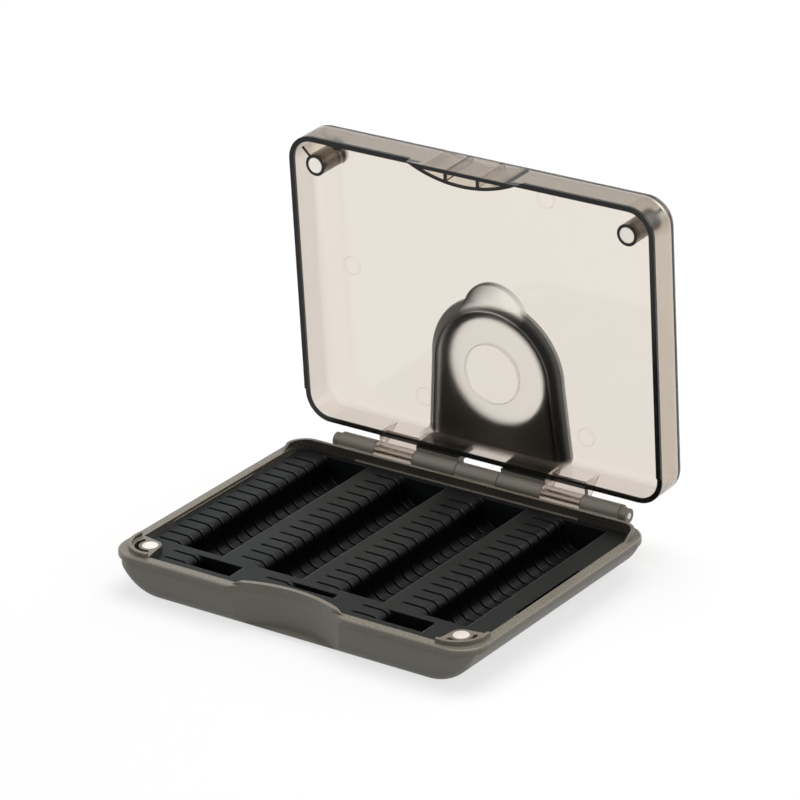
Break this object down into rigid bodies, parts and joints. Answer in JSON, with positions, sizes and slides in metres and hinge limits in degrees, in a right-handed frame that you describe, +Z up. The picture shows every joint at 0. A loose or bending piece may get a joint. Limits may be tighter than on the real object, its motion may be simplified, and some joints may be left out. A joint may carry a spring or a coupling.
{
  "type": "fishing hook storage box",
  "caption": "Pocket fishing hook box with a clear hinged lid, magnetic closing, a slotted rubber insert and a fold-out hanging loop on the hinge pin.",
  "frame": {"origin": "middle of the tray's flat underside", "axes": "+X to the right along the hinge, +Y from the thumb scoop back to the hinge, +Z up out of the tray"},
  "size_m": [0.12, 0.1047, 0.1048],
  "materials": {
    "tray_plastic": "satin",
    "clear_plastic": "polished",
    "insert_rubber": "matte",
    "pin_steel": "satin",
    "magnet_nickel": "polished"
  },
  "bodies": {
    "tray": {"base_tray": "tray_plastic", "hook_insert": "insert_rubber", "hinge_pin": "pin_steel", "base_magnet_left": "magnet_nickel", "base_magnet_right": "magnet_nickel"},
    "lid": {"lid": "clear_plastic", "lid_magnet_left": "magnet_nickel", "lid_magnet_right": "magnet_nickel"},
    "loop": {"hanging_loop": "tray_plastic"}
  },
  "joints": [
    {"name": "lid_hinge", "type": "hinge", "parent": "tray", "child": "lid", "pos_m": [0, 0.0485, 0.01208], "axis": [1, 0, 0], "range_deg": [0, 88]},
    {"name": "loop_hinge", "type": "hinge", "parent": "lid", "child": "loop", "pos_m": [0, 0.0485, 0.01208], "axis": [-1, 0, 0], "range_deg": [0, 80]}
  ]
}
